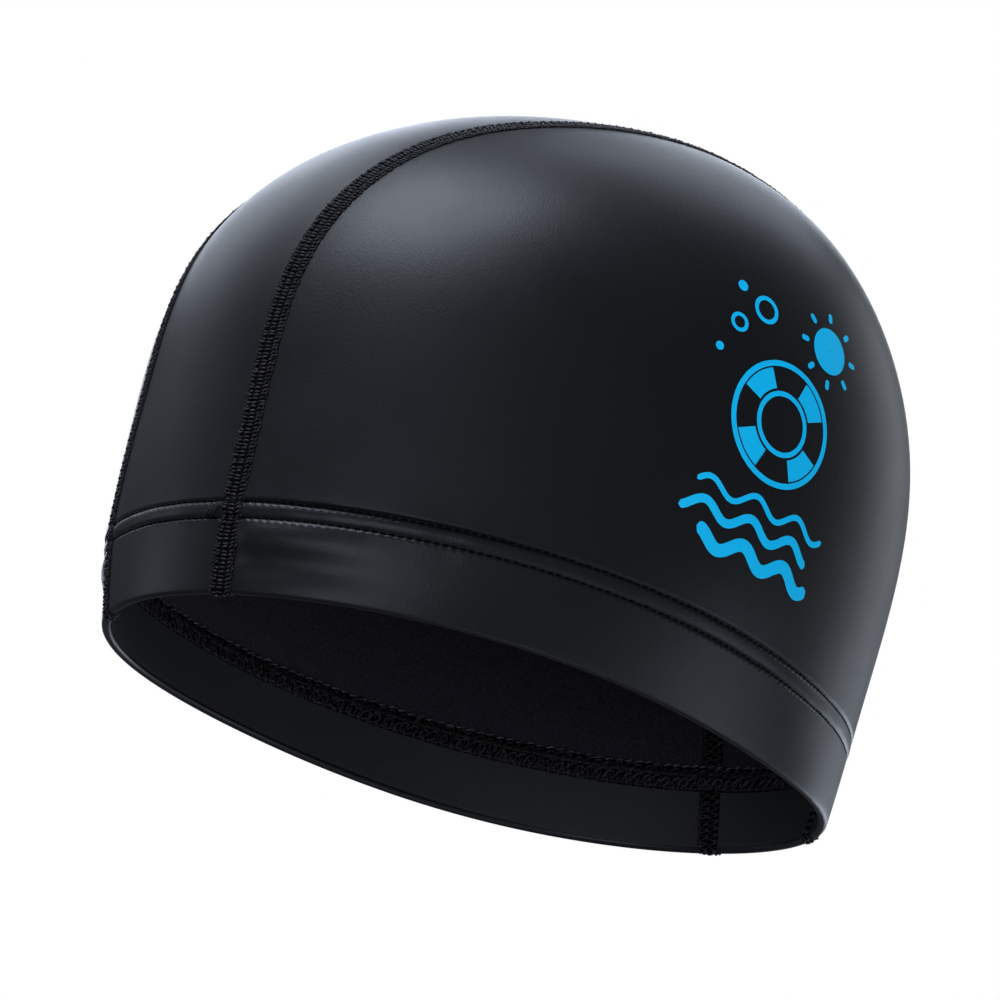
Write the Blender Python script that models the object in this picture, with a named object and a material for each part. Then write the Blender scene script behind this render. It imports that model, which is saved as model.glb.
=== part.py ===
"""Swim cap of three stretch-cloth panels, in the form it has when worn.

Metres, +Z up, the forehead towards -Y and the wearer's left towards +X. The origin is the centre of
the head opening, in the plane of the rim.
"""
import math

import bmesh
import bpy
import numpy as np

OPENING_LENGTH = 0.1902  # the rim's outline from front to back
OPENING_WIDTH = 0.1520  # and from side to side
CROWN_HEIGHT = 0.1518  # rim plane to the outside of the crown
RIM_WAVE = (0.00037, -0.00076, 0.00011)  # how far the rim leaves its plane: 2, 3 and 4 waves round

# Section table. Each row is the cap's outline at one meridian angle: 0 degrees is the rim, 90 the crown.
# A reach times the cosine of that angle is the distance from the crown's axis. Front and back reaches are
# in percent of half the opening's length, side reaches of half its width, the others of half their mean.
# Columns: angle, front, front diagonal, side, back diagonal, back.
SECTIONS = (
    (0.0, 102.7, 101.2, 100.0, 95.7, 97.3),
    (8.0, 107.3, 109.2, 113.0, 100.6, 99.5),
    (20.0, 113.4, 118.9, 126.2, 111.5, 104.4),
    (35.0, 126.2, 134.0, 141.6, 126.2, 114.0),
    (50.0, 136.9, 146.6, 161.4, 139.5, 123.4),
    (65.0, 141.4, 155.9, 183.6, 153.2, 132.0),
    (80.0, 144.2, 166.2, 202.5, 166.3, 139.5),
    (90.0, 146.4, 178.1, 219.9, 178.1, 146.4),
)

# Half width of the centre strip, by the angle over the head from the front rim to the back rim.
STRIP = (
    (0.0, 0.0252),
    (20.0, 0.0272),
    (38.0, 0.0268),
    (52.0, 0.0305),
    (64.0, 0.0352),
    (78.0, 0.0430),
    (95.0, 0.0470),
    (118.0, 0.0455),
    (150.0, 0.0330),
    (180.0, 0.0205),
)

CLOTH = 0.0010  # thickness of the coated cloth
HEM_GAP = 0.0003  # air between the panel and its turned-in hem
HEM = 0.0212  # height of the hem's raw edge above the rim
KERF = 0.0010  # the slot between two panels, which the seam's thread fills
GAP = 0.0005  # air between a thread band and the cloth

SEAM_WIDTH = 0.0058
SEAM_OUTSIDE = 0.0007  # thickness of the band on the outside
SEAM_INSIDE = 0.0006
SEAM_EASE = 0.0003  # the chamfer on the outside band's edges
SEAM_WEB = 0.0004  # thickness of the thread between the two bands
SEAM_END = 0.0005  # thickness of the thread round the rim
SEAM_CLEAR = 0.0008  # how far above the raw edge the inside band begins to come off the hem
SEAM_RAMP = 0.0045  # height over which it does so
SEAM_FOOT = 0.0002  # how far a seam's ends reach below the rim plane
SEAM_STATIONS = 38  # stations along a seam above the hem
SEAM_READINGS = 721  # places over the head where the seam's line is read

COVER_BELOW = 0.0047  # how far the coverstitch band reaches below the hem's raw edge
COVER_ABOVE = 0.0028  # and above it
COVER_THICK = 0.0006
COVER_STEP = (0.0046, 0.0104)  # half widths of its step over a seam, at the top and the foot
COVER_EDGE = 0.0006  # how far above the raw edge it starts down onto the panel
COVER_DROP = 0.0012  # height over which it does so
COVER_STATIONS = 48  # columns round the band
COVER_CLEAR = 0.03  # radians beside a step that are kept free of other columns

STATIONS = 60  # columns round the cap
RISE = (0.0012, 0.47 * HEM, HEM, HEM + 0.0098)  # rows of the lower wall, above the rim
TURNS = (17, 23, 29, 35, 41, 47, 53, 59, 65, 71, 77, 83, 87)  # rows above, by meridian angle

# The cutter that holds the centre strip: its reach outside and inside the cloth at its side walls and in
# its middle, and how far its ends reach below the seams.
SLAB_OUT = 0.002
SLAB_IN = 0.0035
SLAB_MIDDLE_OUT = 0.030
SLAB_MIDDLE_IN = 0.012
SLAB_DROP = 0.012
HALF_SPACE = 0.25  # reach of the cutters that hold one side of the cap

FOLD = (2 * CLOTH + HEM_GAP) / 2  # outside radius of the rim's fold
HALF_LENGTH, HALF_WIDTH = OPENING_LENGTH / 2, OPENING_WIDTH / 2
HALF_MEAN = (HALF_LENGTH + HALF_WIDTH) / 2
AXIS_Y = (SECTIONS[0][1] - SECTIONS[0][5]) / 200 * HALF_LENGTH  # the crown's axis: centres the opening


def spline(knots, rows, at):
    """Values of the natural cubic curves through rows, one column each, at the given places."""
    x, y, at = np.asarray(knots, float), np.asarray(rows, float), np.asarray(at, float)
    y = y.reshape(len(x), -1)
    h = np.diff(x)
    system = np.eye(len(x))
    right = np.zeros_like(y)
    for i in range(1, len(x) - 1):
        system[i, i - 1 : i + 2] = h[i - 1], 2 * (h[i - 1] + h[i]), h[i]
        right[i] = 6 * ((y[i + 1] - y[i]) / h[i] - (y[i] - y[i - 1]) / h[i - 1])
    bend = np.linalg.solve(system, right)
    i = np.clip(np.searchsorted(x, at, side="right") - 1, 0, len(x) - 2)
    w, a, b = h[i][:, None], (x[i + 1] - at)[:, None], (at - x[i])[:, None]
    cubic = (bend[i] * a**3 + bend[i + 1] * b**3) / (6 * w)
    return cubic + (y[i] / w - bend[i] * w / 6) * a + (y[i + 1] / w - bend[i + 1] * w / 6) * b


def rim_height(bearing):
    """How far the rim stands above its plane at each bearing."""
    return sum(amount * np.cos((k + 2) * bearing) for k, amount in enumerate(RIM_WAVE))


def reach(turn, bearing):
    """Distance of the outer surface from the crown's axis. The five columns of the table become a
    cosine series in the bearing, which is 0 at the front and 180 degrees at the back."""
    table = np.array(SECTIONS)
    reaches = table[:, 1:] / 100 * (HALF_LENGTH, HALF_MEAN, HALF_WIDTH, HALF_MEAN, HALF_LENGTH)
    places = np.radians([0, 45, 90, 135, 180])
    series = np.linalg.inv(np.cos(np.outer(places, np.arange(5))))
    rows = spline(np.radians(table[:, 0]), reaches, turn) @ series.T
    return np.cos(turn) * (rows * np.cos(np.outer(bearing, np.arange(5)))).sum(axis=1)


def surface(turn, bearing):
    """Points of the outer surface at meridian angles and bearings, both in radians."""
    turn, bearing = (a.ravel() for a in np.broadcast_arrays(turn, bearing))
    r = reach(turn, bearing)
    s = np.sin(turn)
    z = CROWN_HEIGHT * s + rim_height(bearing) * (1 - s) ** 2
    return np.stack([r * np.sin(bearing), AXIS_Y - r * np.cos(bearing), z], axis=1)


def unit(v):
    """Vectors scaled to length one."""
    return v / np.linalg.norm(v, axis=-1, keepdims=True)


def frame(turn, bearing):
    """The outward normal and the uphill direction of the outer surface."""
    e = 1e-4
    up = unit(surface(turn + e, bearing) - surface(turn - e, bearing))
    along = unit(surface(turn, bearing + e) - surface(turn, bearing - e))
    return unit(np.cross(along, up)), up


def place(rise, bearing, depth, drop=0.0):
    """A point of the lower wall: a height above the rim, a depth inwards from the outer surface and
    a drop below that height, along the wall."""
    turn = np.full_like(bearing, math.asin(rise / CROWN_HEIGHT))
    normal, up = frame(turn, bearing)
    return surface(turn, bearing) - normal * depth - up * drop


def turn_and_bearing(points):
    """Meridian angle and bearing of points: the sine of the angle is a root of the height's quadratic."""
    x, y, z = points[:, 0], points[:, 1] - AXIS_Y, points[:, 2]
    bearing = np.arctan2(x, -y)
    wave, left = rim_height(bearing), CROWN_HEIGHT - z
    share = 2 * left / (CROWN_HEIGHT + np.sqrt(np.maximum(CROWN_HEIGHT**2 - 4 * wave * left, 0)))
    return np.arcsin(np.clip(1 - share, 0, 1)), bearing


def inside(points):
    """Whether each point is inside the outer surface."""
    turn, bearing = turn_and_bearing(points)
    radius = np.hypot(points[:, 0], points[:, 1] - AXIS_Y)
    return (radius < reach(turn, bearing)) & (points[:, 2] < CROWN_HEIGHT)


def over_head(angle, x):
    """Points of the outer surface at a sideways distance x, by the angle over the head."""
    low, high = np.zeros_like(angle), np.full_like(angle, OPENING_LENGTH)
    for _ in range(40):
        middle = (low + high) / 2
        points = np.stack([x, AXIS_Y - middle * np.cos(angle), middle * np.sin(angle)], axis=1)
        is_in = inside(points)
        low, high = np.where(is_in, middle, low), np.where(is_in, high, middle)
    return np.stack([x, AXIS_Y - low * np.cos(angle), low * np.sin(angle)], axis=1)


def mesh_object(name, points, faces, material=None):
    """An object made of points and faces, its normals outward."""
    mesh = bpy.data.meshes.new(name)
    mesh.from_pydata([tuple(map(float, p)) for p in points], [], faces)
    work = bmesh.new()
    work.from_mesh(mesh)
    bmesh.ops.recalc_face_normals(work, faces=work.faces)
    if work.calc_volume(signed=True) < 0:
        bmesh.ops.reverse_faces(work, faces=work.faces)
    bmesh.ops.triangulate(work, faces=work.faces)
    work.to_mesh(mesh)
    work.free()
    obj = bpy.data.objects.new(name, mesh)
    bpy.context.scene.collection.objects.link(obj)
    if material:
        mesh.materials.append(material)
    return obj


def ring_faces(rows, columns, closed):
    """Quads of a sheet of rows by columns whose columns close round; closed closes the rows too."""
    faces = []
    for i in range(rows if closed else rows - 1):
        k = (i + 1) % rows
        for j in range(columns):
            n = (j + 1) % columns
            faces.append((i * columns + j, i * columns + n, k * columns + n, k * columns + j))
    return faces


def cloth_shell(name):
    """The whole cap as one wall: outside, fold, turned-in hem with its raw edge, and inside."""
    bearing = np.arange(STATIONS) * (2 * math.pi / STATIONS)
    rows = []

    def wall(depth, heights):
        rows.extend(place(height, bearing, depth) for height in heights)

    def dome(depth, turns):
        for turn in np.radians(turns):
            at = np.full_like(bearing, turn)
            rows.append(surface(at, bearing) - frame(at, bearing)[0] * depth)

    def fold(radius, steps):
        foot = RISE[0]
        for angle in steps:
            depth, drop = FOLD - radius * math.cos(angle), radius * math.sin(angle)
            rows.append(place(foot, bearing, depth, drop))

    hem_rows = RISE[:3]
    quarter = math.pi / 4
    dome(0.0, TURNS[::-1])
    wall(0.0, RISE[::-1])
    fold(FOLD, (quarter, 2 * quarter, 3 * quarter))
    wall(2 * FOLD, hem_rows)
    wall(CLOTH + HEM_GAP, hem_rows[::-1])
    fold(HEM_GAP / 2, (2 * quarter,))
    wall(CLOTH, RISE)
    dome(CLOTH, TURNS)
    points = np.concatenate(rows)
    faces = ring_faces(len(rows), STATIONS, closed=False)
    crown = np.array([0.0, AXIS_Y, CROWN_HEIGHT])
    points = np.vstack([points, crown, crown - (0, 0, CLOTH)])
    last = (len(rows) - 1) * STATIONS
    for j in range(STATIONS):
        n = (j + 1) % STATIONS
        faces.append((len(points) - 2, n, j))
        faces.append((len(points) - 1, last + j, last + n))
    return mesh_object(name, points, faces)


def seam_path(side):
    """Stations along a seam: points of the outer surface with its normal, from front rim to back."""
    knots = np.array(STRIP)
    fine = np.radians(np.linspace(0, 180, SEAM_READINGS))
    half = spline(np.radians(knots[:, 0]), knots[:, 1], fine)[:, 0]
    line = over_head(fine, side * half)
    turn, bearing = turn_and_bearing(line)
    normal, _ = frame(np.maximum(turn, 1e-3), bearing)
    rise = line[:, 2] - rim_height(bearing) * (1 - np.sin(turn)) ** 2
    along = np.concatenate([[0], np.cumsum(np.linalg.norm(np.diff(line, axis=0), axis=1))])
    peak = int(rise.argmax())
    low = np.array([RISE[0], RISE[1], HEM + SEAM_CLEAR])
    low = np.append(low, low[-1] + SEAM_RAMP)
    front = np.interp(low, rise[: peak + 1], along[: peak + 1])
    back = np.interp(low, rise[peak:][::-1], along[peak:][::-1])
    middle = np.linspace(front[-1], back[-1], SEAM_STATIONS)
    at = np.concatenate([front, middle[1:-1], back[::-1]])
    pick = lambda v: np.stack([np.interp(at, along, v[:, k]) for k in range(3)], axis=1)
    path, normal = pick(line), unit(pick(normal))
    tangent = unit(np.gradient(path, at, axis=0))
    tangent = unit(tangent - normal * (tangent * normal).sum(axis=1, keepdims=True))
    height = np.interp(at, along, rise)
    return path, normal, tangent, height


def strip_slab(name, grow):
    """A slab that holds the centre strip, its side walls square to the cloth and moved out by grow."""
    sides = [seam_path(side) for side in (1, -1)]
    rings = []
    for k in range(len(sides[0][0])):
        corners = []
        for (path, normal, tangent, _), sign in zip(sides, (1, -1)):
            out = sign * np.cross(tangent[k], normal[k])
            if out[0] * sign < 0:
                out = -out
            base = path[k] + out * grow
            corners.append((base + normal[k] * SLAB_OUT, base - normal[k] * SLAB_IN))
        (left_out, left_in), (right_out, right_in) = corners
        middle = (sides[0][0][k] + sides[1][0][k]) / 2
        lift = unit(sides[0][1][k] + sides[1][1][k])
        crest, keel = middle + lift * SLAB_MIDDLE_OUT, middle - lift * SLAB_MIDDLE_IN
        rings.append([left_out, crest, right_out, right_in, keel, left_in])

    def beyond(k, way):
        left, right = (tangent[k] * way * SLAB_DROP for _, _, tangent, _ in sides)
        middle = (left + right) / 2
        return [p + move for p, move in zip(rings[k], (left, middle, right, right, middle, left))]

    rings = [beyond(0, -1)] + rings + [beyond(-1, 1)]
    count = len(rings)
    points = [p for ring in rings for p in ring]
    faces = [
        (k * 6 + j, k * 6 + (j + 1) % 6, (k + 1) * 6 + (j + 1) % 6, (k + 1) * 6 + j)
        for k in range(count - 1)
        for j in range(6)
    ]
    faces += [tuple(range(6)), tuple((count - 1) * 6 + j for j in range(5, -1, -1))]
    return helper(mesh_object(name, points, faces))


def half_box(name, side):
    """A box that holds everything on one side of the cap."""
    across = sorted((0.0, side * HALF_SPACE))
    both = (-HALF_SPACE, HALF_SPACE)
    points = [(x, y, z) for x in across for y in both for z in both]
    faces = [(0, 1, 3, 2), (4, 6, 7, 5), (0, 4, 5, 1), (2, 3, 7, 6), (0, 2, 6, 4), (1, 5, 7, 3)]
    return helper(mesh_object(name, points, faces))


def helper(obj):
    """A cutter, which isn't part of the model."""
    obj.hide_render = True
    obj.display_type = "WIRE"
    return obj


def cut(obj, *steps):
    """Boolean steps on an object, each an operation with its cutter."""
    for operation, cutter in steps:
        modifier = obj.modifiers.new(cutter.name, "BOOLEAN")
        modifier.operation = operation
        modifier.solver = "EXACT"
        modifier.object = cutter


def seam_depth(height):
    """Depth of the cloth under a seam's inside band: two layers in the hem, one above it."""
    ramp = np.clip((HEM + SEAM_CLEAR + SEAM_RAMP - height) / SEAM_RAMP, 0, 1)
    return CLOTH + (2 * FOLD - CLOTH) * ramp


def along_rim(tangent, normal):
    """The direction along the rim at a seam's end, as long as one unit of the seam's width reaches there."""
    rim = unit(np.cross(normal, (0, 0, 1)))
    return rim / (rim @ np.cross(tangent, normal))


def seam_band(name, side, material):
    """The flatlock thread as one solid: a band outside, a band inside and the web between them, which
    fills the slot between the panels, with a block round the rim at each end."""
    path, normal, tangent, height = seam_path(side)
    under = RISE[0] + SEAM_FOOT
    front, back = (np.linalg.norm(along_rim(tangent[k], normal[k])) * under for k in (0, -1))
    path = np.vstack([path[0] - tangent[0] * front, path, path[-1] + tangent[-1] * back])
    normal, tangent = (np.vstack([v[:1], v, v[-1:]]) for v in (normal, tangent))
    height = np.concatenate([[0], height, [0]])
    depth = seam_depth(height)
    half, web, top = SEAM_WIDTH / 2, SEAM_WEB / 2, GAP + SEAM_OUTSIDE
    rings = []
    for k in range(len(path)):
        is_end = min(k, len(path) - 1 - k) < 2
        across = along_rim(tangent[k], normal[k]) if is_end else np.cross(tangent[k], normal[k])

        def at(sideways, out):
            return path[k] + across * sideways + normal[k] * out

        low = -depth[k] - GAP
        rings.append([
            at(-half + SEAM_EASE, top), at(half - SEAM_EASE, top), at(half, top - SEAM_EASE),
            at(half, GAP), at(web, GAP), at(web, low), at(half, low), at(half, low - SEAM_INSIDE),
            at(-half, low - SEAM_INSIDE), at(-half, low), at(-web, low), at(-web, GAP),
            at(-half, GAP), at(-half, top - SEAM_EASE),
        ])
    size, count = 14, len(rings)
    points = [p for ring in rings for p in ring]
    faces = [
        (k * size + j, k * size + (j + 1) % size, (k + 1) * size + (j + 1) % size, (k + 1) * size + j)
        for k in range(count - 1)
        for j in range(size)
    ]
    block = (0, 1, 2, 3, 6, 7, 8, 9, 12, 13)  # the section without its two slots, for the cloth's edges
    for first, way in ((0, -1), ((count - 1) * size, 1)):
        k = first // size
        start = len(points)
        points += [rings[k][j] + tangent[k] * way * SEAM_END for j in block]
        faces += [tuple(first + j for j in (3, 4, 5, 6)), tuple(first + j for j in (9, 10, 11, 12))]
        for j in range(len(block)):
            n = (j + 1) % len(block)
            faces.append((first + block[j], first + block[n], start + n, start + j))
        faces.append(tuple(start + j for j in range(len(block))))
    return mesh_object(name, points, faces, material)


def coverstitch(name, material):
    """The looped band inside, half on the turned-in hem and half on the panel above its raw edge."""
    crossings = []
    for side in (1, -1):
        path, _, _, height = seam_path(side)
        for part in (slice(0, 6), slice(-6, None)):
            order = np.argsort(height[part])
            y = np.interp(HEM, height[part][order], path[part][order][:, 1])
            x = np.interp(HEM, height[part][order], path[part][order][:, 0])
            crossings.append(math.atan2(x, -(y - AXIS_Y)) % (2 * math.pi))
    near, far = (half / HALF_LENGTH for half in COVER_STEP)
    bearing = list(np.arange(COVER_STATIONS) * (2 * math.pi / COVER_STATIONS))
    bearing = [b for b in bearing if all(abs(wrap(b - c)) > far + COVER_CLEAR for c in crossings)]
    bearing += [(c + d) % (2 * math.pi) for c in crossings for d in (-far, -near, near, far)]
    bearing = np.array(sorted(bearing))
    lift = np.array([max(step(abs(wrap(b - c)), near, far) for c in crossings) for b in bearing])
    low, high = 2 * FOLD + GAP, CLOTH + GAP
    edge = HEM + COVER_EDGE
    foot, crest = HEM - COVER_BELOW, HEM + COVER_ABOVE
    profile = ((foot, low), (edge, low), (edge + COVER_DROP, high), (crest, high))
    rows = []
    for thick, points in ((0, profile), (COVER_THICK, profile[::-1])):
        for rise, depth in points:
            over = seam_depth(rise) + 2 * GAP + SEAM_INSIDE
            rows.append(shifted(rise, bearing, depth + lift * max(0, over - depth) + thick))
    return mesh_object(name, np.concatenate(rows), ring_faces(len(rows), len(bearing), True), material)


def shifted(rise, bearing, depth):
    """Points of the lower wall at one height, each at its own depth inwards."""
    turn = np.full_like(bearing, math.asin(rise / CROWN_HEIGHT))
    normal, _ = frame(turn, bearing)
    return surface(turn, bearing) - normal * depth[:, None]


def wrap(angle):
    """The same angle between minus and plus half a turn."""
    return (angle + math.pi) % (2 * math.pi) - math.pi


def step(distance, near, far):
    """1 within near, 0 beyond far."""
    return float(np.clip((far - distance) / (far - near), 0, 1))


def finish(name, colour, roughness, coat=0.0):
    """A plain material."""
    material = bpy.data.materials.new(name)
    material.use_nodes = True
    shader = material.node_tree.nodes["Principled BSDF"]
    shader.inputs["Base Color"].default_value = (*colour, 1)
    shader.inputs["Roughness"].default_value = roughness
    shader.inputs["Coat Weight"].default_value = coat
    return material


def main():
    """Builds the three panels, the two seams and the hem's stitching."""
    for obj in list(bpy.data.objects):
        bpy.data.objects.remove(obj)
    coated = finish("coated_cloth", (0.012, 0.013, 0.015), 0.42, 0.2)
    thread = finish("thread", (0.010, 0.010, 0.011), 0.85)
    inner = strip_slab("strip_cutter", -KERF / 2)
    outer = strip_slab("sides_cutter", KERF / 2)
    panels = {
        "centre_panel": (("INTERSECT", inner),),
        "left_panel": (("DIFFERENCE", outer), ("INTERSECT", half_box("left_cutter", 1))),
        "right_panel": (("DIFFERENCE", outer), ("INTERSECT", half_box("right_cutter", -1))),
    }
    for name, steps in panels.items():
        panel = cloth_shell(name)
        panel.data.materials.append(coated)
        cut(panel, *steps)
    seam_band("left_seam", 1, thread)
    seam_band("right_seam", -1, thread)
    coverstitch("hem_coverstitch", thread)


main()
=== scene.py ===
"""The looks of a swim cap: coated stretch-cloth panels, flatlock seams and a coverstitched hem.

Metres, +Z up through the crown, -Y towards the forehead, +X towards the wearer's left. The origin is
the centre of the head opening, in the plane of the rim. Places on the cap are given by a meridian
angle, called turn (0 at the rim, 90 degrees at the crown), and a bearing (0 at the forehead, 180
degrees at the nape, positive on the wearer's left).
"""

import functools
import logging
import math
from dataclasses import dataclass, field
from enum import Enum

import bmesh
import bpy
import numpy as np
from mathutils import Matrix, Vector

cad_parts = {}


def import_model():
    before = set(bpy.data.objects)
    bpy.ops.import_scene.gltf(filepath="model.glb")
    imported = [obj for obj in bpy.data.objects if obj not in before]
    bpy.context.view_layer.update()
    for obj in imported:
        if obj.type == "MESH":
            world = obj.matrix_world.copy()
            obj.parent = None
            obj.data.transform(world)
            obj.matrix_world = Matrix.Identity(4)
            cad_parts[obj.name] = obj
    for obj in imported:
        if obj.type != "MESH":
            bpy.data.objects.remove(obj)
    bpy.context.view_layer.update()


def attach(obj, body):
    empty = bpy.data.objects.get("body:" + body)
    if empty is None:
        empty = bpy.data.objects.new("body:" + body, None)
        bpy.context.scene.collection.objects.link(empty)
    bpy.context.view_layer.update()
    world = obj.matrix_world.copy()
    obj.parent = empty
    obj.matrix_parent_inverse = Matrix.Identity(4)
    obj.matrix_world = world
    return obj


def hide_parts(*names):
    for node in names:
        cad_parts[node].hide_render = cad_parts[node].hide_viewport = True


Array = np.ndarray
LOG = logging.getLogger("swim_cap")


class Side(Enum):
    """The wearer's sides, with the sign of X there."""

    LEFT = 1
    RIGHT = -1


class Layer(Enum):
    """The faces of a cloth wall, by the index of their material."""

    COAT = 0
    KNIT = 1
    FACING = 2


class Yarn(Enum):
    """The threads of a seam or a hem, by the index of their material."""

    THREAD = 0
    # near-black yarn: painted shade for the ribbons under the threads; the sunk needle threads use it too
    SHADE_BLACK = 1
    # a lighter copy of the thread: painted light on the net's upper edge inside the cap
    CHAIN = 2


def unit(vectors: Array) -> Array:
    """Vectors scaled to length one along their last axis."""
    return vectors / np.linalg.norm(vectors, axis=-1, keepdims=True)


def natural_cubic(knots: Array, rows: Array, at: Array) -> Array:
    """Natural cubic curves through rows of values.

    Args:
        knots: the places of the rows, rising.
        rows: one row of values for each knot.
        at: the places asked for, in any shape.

    Returns:
        The values there, with the columns of rows as a last axis.
    """
    x, y = np.asarray(knots, float), np.asarray(rows, float).reshape(len(knots), -1)
    flat = np.asarray(at, float).ravel()
    h = np.diff(x)
    system, right = np.eye(len(x)), np.zeros_like(y)
    for i in range(1, len(x) - 1):
        system[i, i - 1 : i + 2] = h[i - 1], 2 * (h[i - 1] + h[i]), h[i]
        right[i] = 6 * ((y[i + 1] - y[i]) / h[i] - (y[i] - y[i - 1]) / h[i - 1])
    bend = np.linalg.solve(system, right)
    i = np.clip(np.searchsorted(x, flat, side="right") - 1, 0, len(x) - 2)
    w, a, b = h[i][:, None], (x[i + 1] - flat)[:, None], (flat - x[i])[:, None]
    cubic = (bend[i] * a**3 + bend[i + 1] * b**3) / (6 * w)
    value = cubic + (y[i] / w - bend[i] * w / 6) * a + (y[i + 1] / w - bend[i + 1] * w / 6) * b
    return value.reshape(*np.shape(at), y.shape[1])


def bump(x: Array, centre: float, width: float) -> Array:
    """A smooth hill of height one: e to the minus square of the distance over the width."""
    return np.exp(-(((x - centre) / width) ** 2))


def ease(x: Array, low: float, high: float) -> Array:
    """0 below low, 1 above high, and the smooth step 3t^2 - 2t^3 between."""
    t = np.clip((x - low) / (high - low), 0, 1)
    return t * t * (3 - 2 * t)


@dataclass(frozen=True)
class CapForm:
    """The cap's outer surface in its worn form, with the sizes of its cloth and hem.

    At each turn the distance from the crown's axis, over the turn's cosine, is a cosine series in the
    bearing through five reaches of the section table; the height is the crown's times the turn's sine.
    Front and back reaches are in percent of half the opening's length, side reaches of half its width,
    the others of half their mean. The reaches and the rim's wave were made by a least-squares fit to
    points of the photograph, and so was the first form of the strip, which was then changed.
    """

    opening_length: float = 0.1902
    opening_width: float = 0.1520
    sections: tuple[tuple[float, ...], ...] = (
        # turn, then the reach at the front, front diagonal, side, back diagonal and back
        (0.0, 102.7, 101.2, 100.0, 95.7, 97.3),
        (8.0, 107.3, 109.2, 113.0, 100.6, 99.5),
        (20.0, 113.4, 118.9, 126.2, 111.5, 104.4),
        (35.0, 126.2, 134.0, 141.6, 126.2, 114.0),
        (50.0, 136.9, 146.6, 161.4, 139.5, 123.4),
        (65.0, 141.4, 155.9, 183.6, 153.2, 132.0),
        (80.0, 144.2, 166.2, 202.5, 166.3, 139.5),
        (90.0, 146.4, 178.1, 219.9, 178.1, 146.4),
    )
    crown_height: float = 0.1518
    rim_wave: tuple[float, ...] = (0.00037, -0.00076, 0.00011)  # 2, 3 and 4 waves round
    strip: tuple[tuple[float, float], ...] = (
        # angle over the head from the front rim, then the centre strip's half width
        (0.0, 0.0252),
        (20.0, 0.0272),
        (38.0, 0.0268),
        (52.0, 0.0305),
        (64.0, 0.0352),
        (78.0, 0.0430),
        (95.0, 0.0470),
        (118.0, 0.0455),
        (150.0, 0.0330),
        (180.0, 0.0205),
    )
    cloth: float = 0.0010
    hem_gap: float = 0.0003
    hem: float = 0.0212  # the turned-in edge, above the rim
    fold_rise: float = 0.0012  # the fold's middle, above the rim
    needle_rises: tuple[float, float] = (0.0178, 0.02175)

    @property
    def fold(self) -> float:
        """The outside radius of the fold at the rim."""
        return self.cloth + self.hem_gap / 2

    @property
    def axis_y(self) -> float:
        """The crown's axis, set so that the opening is centred on the origin."""
        return (self.sections[0][1] - self.sections[0][5]) / 200 * self.opening_length / 2

    def reach(self, turn: Array, bearing: Array) -> Array:
        """Distance of the surface from the crown's axis."""
        length, width = self.opening_length / 2, self.opening_width / 2
        mean = (length + width) / 2
        table = np.array(self.sections)
        reaches = table[:, 1:] / 100 * (length, mean, width, mean, length)
        places = np.radians([0, 45, 90, 135, 180])
        series = np.linalg.inv(np.cos(np.outer(places, np.arange(5))))
        rows = natural_cubic(np.radians(table[:, 0]), reaches, turn) @ series.T
        return np.cos(turn) * (rows * np.cos(bearing[..., None] * np.arange(5))).sum(axis=-1)

    def rim_height(self, bearing: Array) -> Array:
        """How far the rim stands above its plane: a sum of cosines of 2, 3 and 4 times the bearing."""
        return sum(amount * np.cos((k + 2) * bearing) for k, amount in enumerate(self.rim_wave))

    def point(self, turn: Array, bearing: Array) -> Array:
        """Points of the outer surface, in the shape of turn and bearing with X, Y and Z last."""
        turn, bearing = np.broadcast_arrays(turn, bearing)
        r, s = self.reach(turn, bearing), np.sin(turn)
        z = self.crown_height * s + self.rim_height(bearing) * (1 - s) ** 2
        return np.stack([r * np.sin(bearing), self.axis_y - r * np.cos(bearing), z], axis=-1)

    def normal(self, turn: Array, bearing: Array) -> tuple[Array, Array]:
        """The outward normal and the uphill direction, from small steps along both parameters."""
        e = 1e-4
        up = unit(self.point(turn + e, bearing) - self.point(turn - e, bearing))
        along = unit(self.point(turn, bearing + e) - self.point(turn, bearing - e))
        return unit(np.cross(along, up)), up

    def turn_at(self, rise: Array) -> Array:
        """The turn at a height above the rim."""
        return np.arcsin(np.clip(np.asarray(rise) / self.crown_height, -1, 1))

    def rise_at(self, turn: Array) -> Array:
        """The height above the rim at a turn."""
        return self.crown_height * np.sin(turn)

    def parameters(self, points: Array) -> tuple[Array, Array]:
        """Turn and bearing of points on the surface: the root of the height's quadratic in the sine."""
        x, y, z = points[..., 0], points[..., 1] - self.axis_y, points[..., 2]
        bearing = np.arctan2(x, -y)
        wave, left = self.rim_height(bearing), self.crown_height - z
        root = np.sqrt(np.maximum(self.crown_height**2 - 4 * wave * left, 0))
        share = 2 * left / (self.crown_height + root)
        return np.arcsin(np.clip(1 - share, -1, 1)), bearing

    def inside(self, points: Array) -> Array:
        """Whether each point is inside the outer surface."""
        turn, bearing = self.parameters(points)
        radius = np.hypot(points[..., 0], points[..., 1] - self.axis_y)
        below = points[..., 2] < self.crown_height - 1e-9
        return (radius < self.reach(np.maximum(turn, 0), bearing)) & below

    def over_head(self, angle: Array, x: Array) -> Array:
        """Points of the surface at a sideways distance x, by the angle over the head from the front.

        The distance from the origin's cross axis is halved in on between 20 and 190 mm.
        """
        low, high = np.full_like(angle, 0.02), np.full_like(angle, 0.19)

        def at(radius: Array) -> Array:
            """Points at distances from the cross axis."""
            return np.stack([x, self.axis_y - radius * np.cos(angle), radius * np.sin(angle)], axis=-1)

        for _ in range(34):
            middle = (low + high) / 2
            is_in = self.inside(at(middle))
            low, high = np.where(is_in, middle, low), np.where(is_in, high, middle)
        return at(low)

    def strip_half(self, angle: Array) -> Array:
        """The centre strip's half width at an angle over the head."""
        knots = np.array(self.strip)
        return natural_cubic(np.radians(knots[:, 0]), knots[:, 1], angle)[..., 0]

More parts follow.
